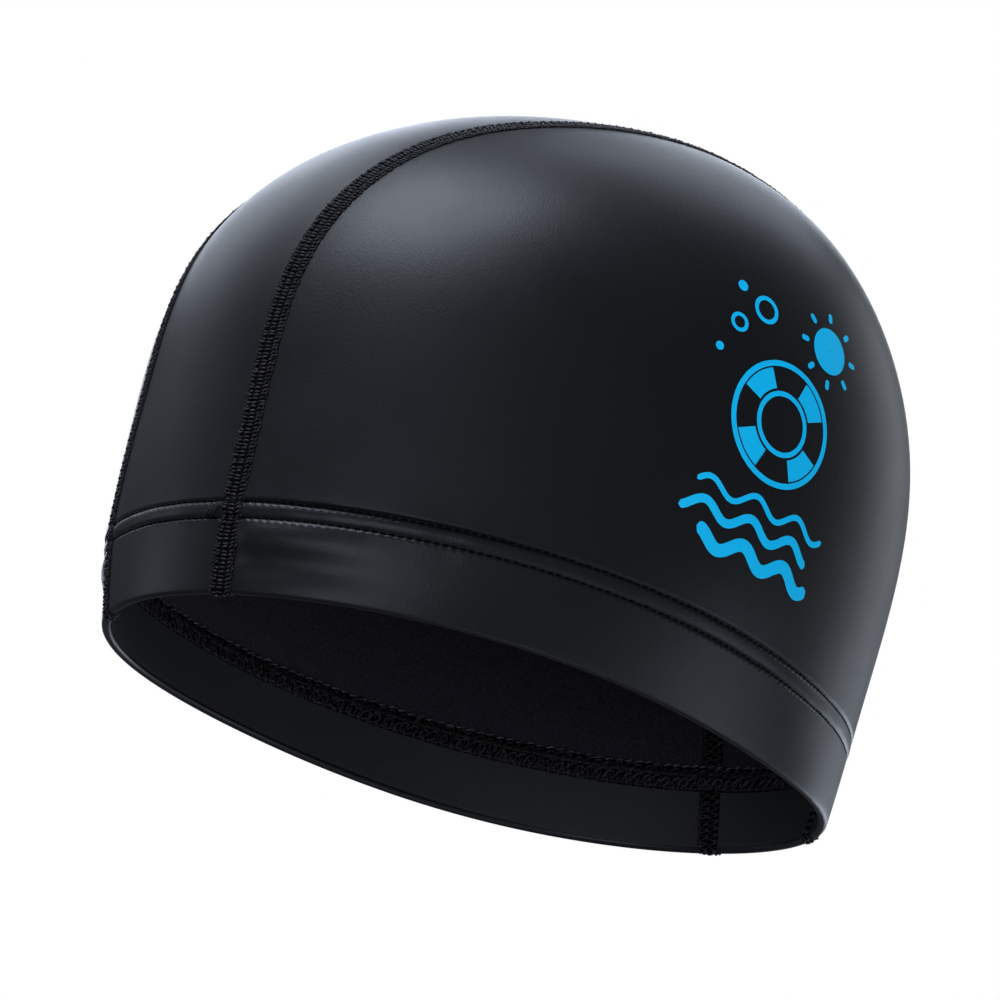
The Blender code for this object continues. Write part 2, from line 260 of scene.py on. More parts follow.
    def inner_depth(self, rise: Array) -> Array:
        """Depth of the inside face below the outside one: two layers in the hem, one above it."""
        one = ease(rise, self.hem - 0.0004, self.hem + 0.0008)
        return 2 * self.fold + (self.cloth - 2 * self.fold) * one

    @staticmethod
    def fine_bearings() -> Array:
        """Bearings once round from the nape, a quarter of a degree apart."""
        return np.radians(np.linspace(-180, 180, 1441))

    def hem_length(self, bearing: Array) -> Array:
        """Length along the hem from the forehead to a bearing, negative on the right."""
        fine = self.fine_bearings()
        middle = np.full_like(fine, self.turn_at(np.mean(self.needle_rises)))
        steps = np.linalg.norm(np.diff(self.point(middle, fine), axis=0), axis=1)
        length = np.concatenate([[0], np.cumsum(steps)])
        return np.interp(bearing, fine, length - length[len(fine) // 2])

    def bearing_at(self, length: Array) -> Array:
        """The bearing at a length along the hem from the forehead."""
        fine = self.fine_bearings()
        return np.interp(length, self.hem_length(fine), fine)


@dataclass(frozen=True)
class HemRelief:
    """How the cloth leaves the smooth form: sunk needle rows, the welt between, puffs and creases."""

    form: CapForm
    groove_depth: float = 0.00050
    groove_width: float = 0.00042
    welt: float = 0.00042
    roll: float = 0.00130
    pucker: float = 0.00012
    crease: float = 0.00105
    welt_width: float = 0.0014
    front_fade: tuple[float, float] = (0.095, 0.140)  # lengths from the forehead where the front ends
    roll_place: tuple[float, float] = (0.070, 0.034)  # its highest length from the forehead, and its width
    roll_onset: float = 0.0008
    roll_fall: float = 0.0050
    pucker_spread: float = 0.0048
    ridge_rise: float = 0.0136
    trough_rise: float = 0.0076
    crease_width: float = 0.0029

    def outside(self, turn: Array, bearing: Array) -> Array:
        """Distance along the outward normal.

        Each needle row is a narrow hill turned down; the welt is a low hill between them; above it the
        cloth stands out in a roll that dies away upwards, highest before the ear; the puckers are three
        sines along the hem, which fade away from the needle rows and towards the nape; beside a front
        seam the hem has a ridge over a trough.
        """
        form, rise = self.form, self.form.rise_at(turn)
        s = form.hem_length(bearing)
        low, high = form.needle_rises
        middle = (low + high) / 2
        front = 1 - ease(np.abs(s), *self.front_fade)
        full = 0.10 + 0.90 * bump(np.abs(s), *self.roll_place)
        out = self.welt * (0.35 + 0.65 * front) * bump(rise, middle, self.welt_width)
        fall = np.exp(-np.maximum(rise - high, 0) / self.roll_fall)
        out = out + self.roll * full * ease(rise, high, high + self.roll_onset) * fall
        for row in (low, high):
            out = out - self.groove_depth * bump(rise, row, self.groove_width)
        waves = np.sin(s / 0.0017 + 1) + 0.8 * np.sin(s / 0.0029 + 2) + 0.9 * np.sin(s / 0.0047)
        out = out + self.pucker / 2 * (0.25 + 0.75 * front) * waves * bump(rise, middle, self.pucker_spread)
        near = form.hem_length(SeamLine(form).foot_bearing)
        for side, strength in ((1, 1.0), (-1, 0.6)):
            beyond = side * s - near
            across = ease(beyond, 0.0010, 0.0080) * (1 - ease(beyond, 0.010, 0.055))
            ridge = bump(rise, self.ridge_rise, self.crease_width)
            ridge = ridge - bump(rise, self.trough_rise, self.crease_width)
            out = out + self.crease * strength * across * ridge
        return out * ease(rise, form.fold_rise, form.fold_rise + 0.003)


@functools.lru_cache(maxsize=2)
def seam_stations(form: CapForm) -> tuple[Array, Array, Array]:
    """The seam line's stations, worked out once for a form."""
    angle = np.radians(np.linspace(0, 180, 721))
    points = form.over_head(angle, form.strip_half(angle))
    turn, bearing = form.parameters(points)
    return points, turn, bearing


@dataclass(frozen=True)
class SeamLine:
    """The line where the centre strip meets a side, as fine stations from front rim to back rim."""

    form: CapForm

    def stations(self) -> tuple[Array, Array, Array]:
        """Points, turns and bearings of the left seam, a quarter of a degree apart over the head."""
        return seam_stations(self.form)

    @property
    def foot_bearing(self) -> float:
        """The bearing where the left seam meets the front rim."""
        return float(self.stations()[2][0])

    def branches(self, turn: Array) -> tuple[Array, Array]:
        """Bearings of the seam's front and back branches at each turn below its peak."""
        _, seam_turn, bearing = self.stations()
        peak = int(seam_turn.argmax())
        front = np.interp(turn, np.maximum.accumulate(seam_turn[: peak + 1]), bearing[: peak + 1])
        rising = np.maximum.accumulate(seam_turn[peak:][::-1])
        return front, np.interp(turn, rising, bearing[peak:][::-1])

    @property
    def peak_turn(self) -> float:
        """The seam's highest turn."""
        return float(self.stations()[1].max())


def grid_faces(rows: int, columns: int, wrap_rows: bool = False, wrap_columns: bool = False) -> Array:
    """Quads of a grid of points that run along its columns first.

    Args:
        rows: rows of points.
        columns: points in a row.
        wrap_rows: whether the last row joins the first.
        wrap_columns: whether the last column joins the first.

    Returns:
        Four point numbers for each quad.
    """
    i = np.arange(rows if wrap_rows else rows - 1)[:, None]
    j = np.arange(columns if wrap_columns else columns - 1)[None, :]
    k, n = (i + 1) % rows, (j + 1) % columns
    quads = np.stack([i * columns + j, i * columns + n, k * columns + n, k * columns + j], axis=-1)
    return quads.reshape(-1, 4)


def build_object(
    name: str,
    points: Array,
    faces: list[Array],
    materials: list[bpy.types.Material],
    face_layers: Array | None = None,
    maps: dict[str, Array] | None = None,
    tidy_normals: bool = False,
) -> bpy.types.Object:
    """An object at the origin whose mesh is set from whole arrays.

    Args:
        name: the object's name.
        points: its points.
        faces: arrays of faces, each with one number of corners.
        materials: its materials.
        face_layers: the material's index for each face.
        maps: named UV maps, each with a place in metres for every point.
        tidy_normals: whether to turn the faces of a closed mesh outwards.

    Returns:
        The linked object, shaded smooth.
    """
    mesh = bpy.data.meshes.new(name)
    corners = np.concatenate([f.ravel() for f in faces])
    totals = np.concatenate([np.full(len(f), f.shape[1]) for f in faces])
    mesh.vertices.add(len(points))
    mesh.vertices.foreach_set("co", np.ascontiguousarray(points, np.float32).ravel())
    mesh.loops.add(len(corners))
    mesh.loops.foreach_set("vertex_index", corners.astype(np.int32))
    mesh.polygons.add(len(totals))
    starts = np.concatenate([[0], np.cumsum(totals)[:-1]])
    mesh.polygons.foreach_set("loop_start", starts.astype(np.int32))
    for material in materials:
        mesh.materials.append(material)
    if face_layers is not None:
        mesh.polygons.foreach_set("material_index", face_layers.astype(np.int32))
    for map_name, places in (maps or {}).items():
        layer = mesh.uv_layers.new(name=map_name)
        layer.data.foreach_set("uv", places[corners].astype(np.float32).ravel())
    mesh.update(calc_edges=True)
    mesh.validate()
    if tidy_normals:
        work = bmesh.new()
        work.from_mesh(mesh)
        bmesh.ops.recalc_face_normals(work, faces=work.faces)
        if work.calc_volume(signed=True) < 0:
            bmesh.ops.reverse_faces(work, faces=work.faces)
        work.to_mesh(mesh)
        work.free()
    mesh.shade_smooth()
    obj = bpy.data.objects.new(name, mesh)
    bpy.context.scene.collection.objects.link(obj)
    return obj


@dataclass
class ThreadMesh:
    """Collects swept threads and bands as point and face arrays, to become one object."""

    points: list[Array] = field(default_factory=list)
    faces: list[Array] = field(default_factory=list)
    layers: list[Array] = field(default_factory=list)
    count: int = 0

    def add(self, points: Array, faces: list[Array], yarn: Yarn) -> None:
        """Adds points and the faces that number them from zero, all of one yarn."""
        self.points.append(points.reshape(-1, 3))
        self.faces.extend(f + self.count for f in faces)
        self.layers.extend(np.full(len(f), yarn.value) for f in faces)
        self.count += len(self.points[-1])

    def sweep(
        self,
        paths: Array,
        normals: Array,
        radius: float,
        yarn: Yarn = Yarn.THREAD,
        sides: int = 5,
        taper: float = 0.6,
    ) -> None:
        """Adds round threads: circles of points square to each path, closed by a face at each end.

        Args:
            paths: threads by stations by X, Y, Z.
            normals: directions away from the cloth, in the same shape.
            radius: the thread's radius.
            yarn: which material the threads have.
            sides: points on each circle.
            taper: the share of the radius left at the ends.
        """
        count, stations = paths.shape[:2]
        tangent = unit(np.gradient(paths, axis=1))
        across = unit(np.cross(tangent, normals))
        out = np.cross(across, tangent)
        turn = np.arange(sides) * (2 * math.pi / sides)
        size = np.ones(stations)
        size[[0, -1]] = taper
        ring = out[:, :, None] * np.cos(turn)[:, None] + across[:, :, None] * np.sin(turn)[:, None]
        points = paths[:, :, None] + radius * size[:, None, None] * ring
        first = (np.arange(count) * stations * sides)[:, None, None]
        quads = (grid_faces(stations, sides, wrap_columns=True)[None] + first).reshape(-1, 4)
        caps = np.arange(sides)[None] + first[:, 0]
        self.add(points, [quads[:, ::-1], caps, caps[:, ::-1] + (stations - 1) * sides], yarn)

    def band(self, path: Array, normals: Array, across: Array, section: Array) -> None:
        """Adds a closed near-black band under the threads, painted shade: a closed section carried round a
        closed path.
        """
        points = (
            path[:, None]
            + across[:, None] * section[None, :, :1]
            + normals[:, None] * section[None, :, 1:]
        )
        quads = grid_faces(len(path), len(section), wrap_rows=True, wrap_columns=True)
        self.add(points, [quads], Yarn.SHADE_BLACK)

    def build(self, name: str, yarns: list[bpy.types.Material]) -> bpy.types.Object:
        """The collected threads as one object, its faces outward."""
        points, layers = np.concatenate(self.points), np.concatenate(self.layers)
        return build_object(name, points, self.faces, yarns, layers, tidy_normals=True)


@dataclass(frozen=True)
class Coat:
    """The satin polyurethane coat of the cloth's outside, black with a trace of blue."""

    name: str = "coated_cloth"
    colour: tuple[float, float, float] = (0.0030, 0.0034, 0.0043)
    roughness: float = 0.40
    rib_pitch: float = 0.00085
    grain: float = 0.00045
    stitch: float = 0.0021
    rows: tuple[float, ...] = (0.0173, 0.02125)  # just below the needle rows

    def puckers(self, kit: "NodeKit") -> bpy.types.NodeSocket:
        """Small hills between the stitches: a sine along the hem, which fades away from each row."""
        place = kit.node("ShaderNodeSeparateXYZ")
        kit.link(kit.node("ShaderNodeUVMap", uv_map="hem").outputs["UV"], place.inputs["Vector"])
        along, rise = place.outputs["X"], place.outputs["Y"]
        hills = kit.math("SINE", kit.math("MULTIPLY", along, 2 * math.pi / self.stitch))
        near = None
        for row in self.rows:
            gap = kit.math("ABSOLUTE", kit.math("SUBTRACT", rise, row))
            close = kit.ramp(gap, (0.0, 1.0), (0.0007, 0.0))
            near = close if near is None else kit.math("MAXIMUM", near, close)
        return kit.math("MULTIPLY", hills, near)

    def build(self) -> bpy.types.Material:
        """Faint ribs of the knit, a fine grain and the stitches' puckers as bump, with clouded roughness."""
        material = bpy.data.materials.new(self.name)
        kit = NodeKit(material)
        ribs = kit.node("ShaderNodeTexWave", bands_direction="X", wave_profile="SIN")
        kit.link(kit.node("ShaderNodeUVMap", uv_map="cloth").outputs["UV"], ribs.inputs["Vector"])
        ribs.inputs["Scale"].default_value = 2 * math.pi / (20 * self.rib_pitch)
        ribs.inputs["Distortion"].default_value = 1.6
        ribs.inputs["Detail"].default_value = 1.0
        ribs.inputs["Detail Scale"].default_value = 0.6
        grain = kit.noise(1 / self.grain, detail=3.0)
        cloud = kit.noise(38.0, detail=4.0)
        streak = kit.noise(420.0, detail=2.0)
        first = kit.bump(ribs.outputs["Fac"], 0.04, 0.00006)
        second = kit.bump(grain.outputs["Fac"], 0.60, 0.00009, first.outputs["Normal"])
        third = kit.bump(streak.outputs["Fac"], 0.08, 0.00012, second.outputs["Normal"])
        last = kit.bump(self.puckers(kit), 0.8, 0.00008, third.outputs["Normal"])
        rough = kit.ramp(cloud.outputs["Fac"], (0.3, self.roughness - 0.03), (0.7, self.roughness + 0.03))
        tone = kit.mix(streak.outputs["Fac"], self.colour, tuple(c * 1.35 for c in self.colour))
        shader = kit.shader
        kit.link(tone, shader.inputs["Base Color"])
        kit.link(rough, shader.inputs["Roughness"])
        kit.link(last.outputs["Normal"], shader.inputs["Normal"])
        shader.inputs["Specular IOR Level"].default_value = 0.5
        return material


@dataclass(frozen=True)
class Knit:
    """The matt back of the cloth: a dark brushed knit."""

    colour: tuple[float, float, float] = (0.0105, 0.0092, 0.0135)
    stitch: float = 0.0007

    def build(self) -> bpy.types.Material:
        """Fine loops as a cell pattern in bump, fuzz as bump and as flecks in the colour, with a little
        sheen.
        """
        material = bpy.data.materials.new("knit_back")
        kit = NodeKit(material)
        loops = kit.node("ShaderNodeTexVoronoi", feature="F1")
        kit.link(kit.coordinates, loops.inputs["Vector"])
        loops.inputs["Scale"].default_value = 1 / self.stitch
        fuzz = kit.noise(2600.0, detail=4.0)
        fleck = kit.ramp(fuzz.outputs["Fac"], (0.42, 0.0), (0.70, 1.0))
        relief = kit.bump(loops.outputs["Distance"], 0.7, 0.00025)
        hair = kit.bump(fuzz.outputs["Fac"], 0.5, 0.0002, relief.outputs["Normal"])
        tone = kit.mix(fleck, self.colour, tuple(c * 3.2 for c in self.colour))
        kit.link(tone, kit.shader.inputs["Base Color"])
        kit.link(hair.outputs["Normal"], kit.shader.inputs["Normal"])
        kit.shader.inputs["Roughness"].default_value = 0.92
        kit.shader.inputs["Specular IOR Level"].default_value = 0.2
        kit.shader.inputs["Sheen Weight"].default_value = 0.08
        return material


@dataclass(frozen=True)
class Thread:
    """Black textured sewing thread."""

    name: str = "sewing_thread"
    colour: tuple[float, float, float] = (0.0075, 0.0069, 0.0083)
    lighter: float = 5.0
    gloss: float = 0.45
    ply: float = 0.00035
    patch: float = 0.0011

    def build(self) -> bpy.types.Material:
        """The twist of the plies as a fine bump, and lighter threads here and there."""
        material = bpy.data.materials.new(self.name)
        kit = NodeKit(material)
        ply = kit.noise(1 / self.ply, detail=3.0)
        relief = kit.bump(ply.outputs["Fac"], 0.6, 0.00012)
        wear = kit.noise(1 / self.patch, detail=2.0)
        bright = kit.ramp(wear.outputs["Fac"], (0.42, 0.0), (0.68, 1.0))
        tone = kit.mix(bright, self.colour, tuple(c * self.lighter for c in self.colour))
        kit.link(tone, kit.shader.inputs["Base Color"])
        kit.link(relief.outputs["Normal"], kit.shader.inputs["Normal"])
        kit.shader.inputs["Roughness"].default_value = 0.48
        kit.shader.inputs["Specular IOR Level"].default_value = self.gloss
        return material


@dataclass(frozen=True)
class Ink:
    """The flat blue print, a thin film on the coat."""

    colour: tuple[float, float, float] = (0.0, 0.55, 1.0)
    roughness: float = 0.5

    def build(self) -> bpy.types.Material:
        """An even blue with faint pinholes of grain."""
        material = bpy.data.materials.new("print_ink")
        kit = NodeKit(material)
        grain = kit.noise(1800.0, detail=3.0)
        tone = kit.mix(grain.outputs["Fac"], tuple(c * 0.94 for c in self.colour), self.colour)
        relief = kit.bump(grain.outputs["Fac"], 0.15, 0.00005)
        kit.link(tone, kit.shader.inputs["Base Color"])
        kit.link(relief.outputs["Normal"], kit.shader.inputs["Normal"])
        kit.shader.inputs["Roughness"].default_value = self.roughness
        kit.shader.inputs["Specular IOR Level"].default_value = 0.3
        return material


class NodeKit:
    """Short calls for the nodes of one material."""

    def __init__(self, material: bpy.types.Material) -> None:
        """Starts from the material's Principled shader and an object coordinate."""
        material.use_nodes = True
        self.tree = material.node_tree
        self.shader = self.tree.nodes["Principled BSDF"]
        self.coordinates = self.node("ShaderNodeTexCoord").outputs["Object"]

    def node(self, kind: str, **options: str) -> bpy.types.Node:
        """A new node of a kind with its options set."""
        made = self.tree.nodes.new(kind)
        for name, value in options.items():
            setattr(made, name, value)
        return made

    def link(self, source: bpy.types.NodeSocket, target: bpy.types.NodeSocket) -> None:
        """Joins two sockets."""
        self.tree.links.new(source, target)

    def noise(self, scale: float, detail: float = 2.0) -> bpy.types.Node:
        """Noise on object coordinates, with scale features to the metre."""
        made = self.node("ShaderNodeTexNoise")
        self.link(self.coordinates, made.inputs["Vector"])
        made.inputs["Scale"].default_value = scale
        made.inputs["Detail"].default_value = detail
        return made

    def math(
        self, operation: str, value: bpy.types.NodeSocket, second: bpy.types.NodeSocket | float = 0.0
    ) -> bpy.types.NodeSocket:
        """One step of arithmetic on a socket."""
        made = self.node("ShaderNodeMath", operation=operation)
        self.link(value, made.inputs[0])
        if isinstance(second, float):
            made.inputs[1].default_value = second
        else:
            self.link(second, made.inputs[1])
        return made.outputs[0]

    def bump(
        self,
        height: bpy.types.NodeSocket,
        strength: float,
        distance: float,
        normal: bpy.types.NodeSocket | None = None,
    ) -> bpy.types.Node:
        """A bump of a height socket, on top of another normal where one is given."""
        made = self.node("ShaderNodeBump")
        made.inputs["Strength"].default_value = strength
        made.inputs["Distance"].default_value = distance
        self.link(height, made.inputs["Height"])
        if normal is not None:
            self.link(normal, made.inputs["Normal"])
        return made

    def ramp(
        self, value: bpy.types.NodeSocket, low: tuple[float, float], high: tuple[float, float]
    ) -> bpy.types.NodeSocket:
        """A straight map from one range of values to another; each pair is a value and its result."""
        made = self.node("ShaderNodeMapRange")
        for name, number in (
            ("From Min", low[0]),
            ("To Min", low[1]),
            ("From Max", high[0]),
            ("To Max", high[1]),
        ):
            made.inputs[name].default_value = number
        self.link(value, made.inputs["Value"])
        return made.outputs["Result"]

    def mix(
        self,
        factor: bpy.types.NodeSocket,
        first: tuple[float, float, float],
        second: tuple[float, float, float],
    ) -> bpy.types.NodeSocket:
        """A blend of two colours by a factor socket."""
        made = self.node("ShaderNodeMix", data_type="RGBA")
        self.link(factor, made.inputs["Factor"])
        made.inputs[6].default_value = (*first, 1)
        made.inputs[7].default_value = (*second, 1)
        return made.outputs[2]


@dataclass(frozen=True)
class Finishes:
    """The materials of the cap, built once."""

    coat: bpy.types.Material
    facing: bpy.types.Material
    knit: bpy.types.Material
    yarns: list[bpy.types.Material]
    ink: bpy.types.Material

    @classmethod
    def build(cls) -> "Finishes":
        """Builds each finish; the yarns are in the order of their layers."""
        # The facing is the coat turned in, with a base colour about six times lighter than the coat's:
        # painted light for the light that reaches inside the cap.
        facing = Coat("facing", colour=(0.0200, 0.0198, 0.0205), roughness=0.60)
        # The near-black yarn is painted shade: the ribbons under the seams' threads and the net's loops, and
        # the sunk needle threads.
        shade_black = Thread("painted_shade_black", (0.0010, 0.0009, 0.0011), 1.5, 0.08)
        # The chain yarn is a lighter copy of the thread, painted light on the net's upper edge.
        chain = Thread("lit_chain_thread", (0.0240, 0.0240, 0.0270), 5.0, 0.6)
        yarns = [thread.build() for thread in (Thread(), shade_black, chain)]
        return cls(Coat().build(), facing.build(), Knit().build(), yarns, Ink().build())


@dataclass
class Panel:
    """A cloth wall: the coated outside, the fold at the rim, the facing and the knit inside."""

    form: CapForm
    relief: HemRelief
    finishes: Finishes
    dome_pitch: float = 0.0030
    needle_pitch: float = 0.0003
    top_of_hem_rows: float = 0.0310
    fold_rows: int = 8
    cut: tuple[float, float] = (0.1, 0.1)  # width and length of the flat piece, with its hem
    cut_area: float = 0.01

    def hem_rises(self) -> Array:
        """Heights above the rim from the fold to above the hem, closest at the needle rows."""
        low = np.linspace(self.form.fold_rise, 0.0160, 10)
        fine = np.arange(0.0164, 0.0232, self.needle_pitch)
        high = np.linspace(0.0236, self.top_of_hem_rows, 8)
        return np.concatenate([low, fine, high])

    def wall_faces(self, turn: Array, bearing: Array) -> tuple[Array, Array]:
        """The outside and inside points of the wall at grids of turn and bearing."""
        base = self.form.point(turn, bearing)
        normal, _ = self.form.normal(turn, bearing)
        outer = base + normal * self.relief.outside(turn, bearing)[..., None]
        inner = base - normal * self.form.inner_depth(self.form.rise_at(turn))[..., None]
        return outer, inner

    def inner_layers(self, turn: Array) -> Array:
        """The material of the inside at each turn: the facing up to the raw edge, then the knit."""
        is_knit = self.form.rise_at(turn) > self.form.hem
        return np.where(is_knit, Layer.KNIT.value, Layer.FACING.value)

    def fold(self, bearing: Array) -> Array:
        """Rows of points round the rim's fold, a half circle from the outside face to the facing."""
        angle = np.linspace(0, math.pi, self.fold_rows + 2)[1:-1]
        return fold_points(self.form, bearing, angle)

    def round_wall(self, outer: Array, both_ends: bool) -> Array:
        """Rows of a map carried round the wall as its points are, with a fold at one end or both."""
        back = np.tile(outer[-1:], (self.fold_rows, 1, 1))
        parts = [outer, back, outer[::-1]]
        if both_ends:
            parts.append(np.tile(outer[:1], (self.fold_rows, 1, 1)))
        return np.concatenate(parts)

    def dress(
        self, name: str, rows: Array, layer: Array, cloth_map: Array, hem_map: Array, node: str
    ) -> bpy.types.Object:
        """One closed mesh from rows of points that go round the wall's section.

        The rows are in an order where row i lies across the wall from row i of the reversed list, so
        the two cut edges are closed by a quad between each such pair.

        Args:
            name: the object's name.
            rows: rows by columns by X, Y, Z.
            layer: for each row, the index of its material.
            cloth_map: each point's place on the cloth.
            hem_map: each point's length along the hem and height above the rim.
            node: the node that it stands for.

        Returns:
            The finished object.
        """
        count, columns = rows.shape[:2]
        i = np.arange(count // 2 - 1)
        pairs = np.stack([i, i + 1, count - 2 - i, count - 1 - i], axis=-1) * columns
        faces = [grid_faces(count, columns, wrap_rows=True), pairs, pairs + columns - 1]
        layers = np.repeat(layer, columns - 1)
        layers = np.concatenate([layers, np.full(2 * len(pairs), Layer.KNIT.value)])
        materials = [self.finishes.coat, self.finishes.knit, self.finishes.facing]
        maps = {"cloth": cloth_map.reshape(-1, 2), "hem": hem_map.reshape(-1, 2)}
        obj = build_object(name, rows.reshape(-1, 3), faces, materials, layers, maps, tidy_normals=True)
        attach(obj, "root")
        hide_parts(node)
        return obj


def fold_points(form: CapForm, bearing: Array, angle: Array) -> Array:
    """Points round the rim's fold, a row for each angle from the outside face (0) to the facing (pi)."""
    turn = np.full_like(bearing, float(form.turn_at(form.fold_rise)))
    normal, up = form.normal(turn, bearing)
    depth = form.fold * (1 - np.cos(angle))[:, None, None]
    return form.point(turn, bearing) - normal * depth - up * form.fold * np.sin(angle)[:, None, None]


@dataclass
class SidePanel(Panel):
    """A side of the cap, from its seam down to the rim."""

    side: Side = Side.LEFT
    columns: int = 205
    dome_rows: int = 58
    cut: tuple[float, float] = (0.205, 0.190)
    cut_area: float = 0.0325

    def build(self) -> bpy.types.Object:
        """Rows of constant height, each run from the seam's front branch to its back branch."""
        line = SeamLine(self.form)
        top, first = line.peak_turn - 0.003, float(self.form.turn_at(self.top_of_hem_rows))
        share = np.sin(np.linspace(0, math.pi / 2, self.dome_rows + 1)[1:])
        turn = np.concatenate([self.form.turn_at(self.hem_rises()), first + (top - first) * share])
        turn = turn[::-1]
        front, back = line.branches(turn)
        bearing = front[:, None] + (back - front)[:, None] * np.linspace(0, 1, self.columns)
        turns = np.broadcast_to(turn[:, None], bearing.shape)
        signed = bearing * self.side.value
        outer, inner = self.wall_faces(turns, signed)
        rows = np.concatenate([outer, self.fold(signed[-1]), inner[::-1]])
        around, up = self.form.hem_length(bearing), self.form.crown_height * turns
        cloth_map = self.round_wall(np.stack([around, up], axis=-1), both_ends=False)
        rise_map = np.stack([around, self.form.rise_at(turns)], axis=-1)
        hem_map = self.round_wall(rise_map, both_ends=False)
        layer = np.zeros(len(rows), int)
        layer[len(turn) + self.fold_rows :] = self.inner_layers(turn[::-1])
        word = self.side.name.lower()
        return self.dress(f"{word}_cloth", rows, layer, cloth_map, hem_map, f"{word}_panel")


@dataclass
class CentrePanel(Panel):
    """The strip from the forehead over the crown to the nape."""

    columns: int = 66
    cut: tuple[float, float] = (0.090, 0.410)
    cut_area: float = 0.0300

    def build(self) -> bpy.types.Object:
        """Columns at even shares of the strip's half width, each run over the head from rim to rim.

        Near each rim the stations are the hem's heights; between them they are evenly spaced along
        the column.
        """
        form = self.form
        share = np.linspace(-1, 1, self.columns)
        angle = np.radians(np.linspace(0, 180, 541))[:, None] * np.ones(self.columns)
        points = form.over_head(angle, form.strip_half(angle) * share)
        turn, _ = form.parameters(points)
        rise = form.rise_at(turn)
        steps = np.linalg.norm(np.diff(points, axis=0), axis=-1)
        along = np.concatenate([np.zeros((1, self.columns)), np.cumsum(steps, axis=0)])
        hem = self.hem_rises()
        middle = int((along[-1].mean() - 2 * hem[-1]) / self.dome_pitch)
        places = []
        for j in range(self.columns):
            peak = int(rise[:, j].argmax())
            front = np.interp(hem, rise[: peak + 1, j], along[: peak + 1, j])
            back = np.interp(hem, rise[peak:, j][::-1], along[peak:, j][::-1])
            at = np.concatenate([front, np.linspace(front[-1], back[-1], middle)[1:-1], back[::-1]])
            path = np.stack([np.interp(at, along[:, j], points[:, j, k]) for k in range(3)], axis=-1)
            places.append(path)
        path = np.stack(places, axis=1)
        turns, bearings = form.parameters(path)
        hem_turns = form.turn_at(hem)[:, None] * np.ones(self.columns)
        turns[: len(hem)], turns[-len(hem) :] = hem_turns, hem_turns[::-1]
        outer, inner = self.wall_faces(turns, bearings)
        front_fold, back_fold = self.fold(bearings[0])[::-1], self.fold(bearings[-1])
        rows = np.concatenate([outer, back_fold, inner[::-1], front_fold])
        steps = np.linalg.norm(np.diff(path.mean(axis=1), axis=0), axis=-1)
        length = np.concatenate([[0], np.cumsum(steps)])
        outer_map = np.stack([path[..., 0], np.tile(length[:, None], (1, self.columns))], axis=-1)
        cloth_map = self.round_wall(outer_map, both_ends=True)
        rise_map = np.stack([form.hem_length(bearings), form.rise_at(turns)], axis=-1)
        hem_map = self.round_wall(rise_map, both_ends=True)
        layer = np.zeros(len(rows), int)
        start = len(outer) + self.fold_rows
        layer[start : start + len(inner)] = self.inner_layers(turns[::-1, 0])
        half = self.fold_rows // 2
        rows, cloth_map, hem_map, layer = (
            np.roll(a, half, axis=0) for a in (rows, cloth_map, hem_map, layer)
        )
        return self.dress("centre_cloth", rows, layer, cloth_map, hem_map, "centre_panel")


@dataclass(frozen=True)
class Track:
    """A closed line on the cloth with its directions, read by length along it."""

    points: Array
    normals: Array
    across: Array
    length: Array

    @classmethod
    def through(cls, points: Array, normals: Array) -> "Track":
        """A track through a ring of points; across is square to the line and the normals."""
        ahead = unit(np.roll(points, -1, axis=0) - np.roll(points, 1, axis=0))
        across = unit(np.cross(ahead, normals))
        steps = np.linalg.norm(np.roll(points, -1, axis=0) - points, axis=1)
        closed = [np.vstack([a, a[:1]]) for a in (points, np.cross(across, ahead), across)]
        return cls(*closed, np.concatenate([[0], np.cumsum(steps)]))

    @property
    def total(self) -> float:
        """The length once round."""
        return float(self.length[-1])

    def place(self, at: Array, sideways: Array, height: Array) -> tuple[Array, Array]:
        """Points at lengths along the track, moved sideways and away from the cloth, with the normals."""
        at = np.mod(at, self.total)
        base, normal, across = (
            np.stack([np.interp(at, self.length, values[:, k]) for k in range(3)], axis=-1)
            for values in (self.points, self.normals, self.across)
        )
        return base + across * sideways[..., None] + normal * height[..., None], normal


# A flatlock band's section: shares of its half width, then millimetres above the cloth.
BAND_SECTION = ((-1, -0.3), (-1, 0.08), (-0.6, 0.14), (0, 0.16), (0.6, 0.14), (1, 0.08), (1, -0.3))


@dataclass(frozen=True)
class Span:
    """One thread of a stitch, from one place to another, arched between them.

    A place is a share of the stitch's length along the seam and a share of the band's half width
    across it. The heights above the cloth and the radius are in millimetres.
    """

    start: tuple[float, float]
    end: tuple[float, float]
    foot: float
    arch: float
    radius: float
    yarn: Yarn = Yarn.THREAD


# Outside: two rungs between the middle needle columns, slanting loops on each side of them, threads that
# bind the two edges, and two sunk needle threads.
OUTER_SPANS = (
    Span((0.04, -0.30), (0.10, 0.28), 0.20, 0.20, 0.27),
    Span((0.60, -0.30), (0.54, 0.28), 0.18, 0.13, 0.25),
    Span((0.02, -0.88), (0.22, -0.42), 0.16, 0.22, 0.25),
    Span((0.62, -0.86), (0.56, -0.44), 0.14, 0.14, 0.23),
    Span((0.02, 0.42), (0.34, 0.84), 0.16, 0.20, 0.24),
    Span((0.50, 0.42), (0.86, 0.84), 0.16, 0.16, 0.23),
    Span((0.45, -0.80), (0.05, -1.04), 0.10, 0.16, 0.17),
    Span((0.98, -0.84), (0.62, -1.04), 0.08, 0.12, 0.15),
    Span((0.00, 0.86), (0.48, 1.06), 0.10, 0.18, 0.18),
    Span((0.52, 0.88), (0.90, 1.05), 0.08, 0.12, 0.15),
    # the two sunk needle threads are in the near-black yarn of the painted shade
    Span((0.10, -0.345), (0.92, -0.345), 0.10, 0.06, 0.11, Yarn.SHADE_BLACK),
    Span((0.10, 0.335), (0.92, 0.335), 0.10, 0.06, 0.11, Yarn.SHADE_BLACK),
)
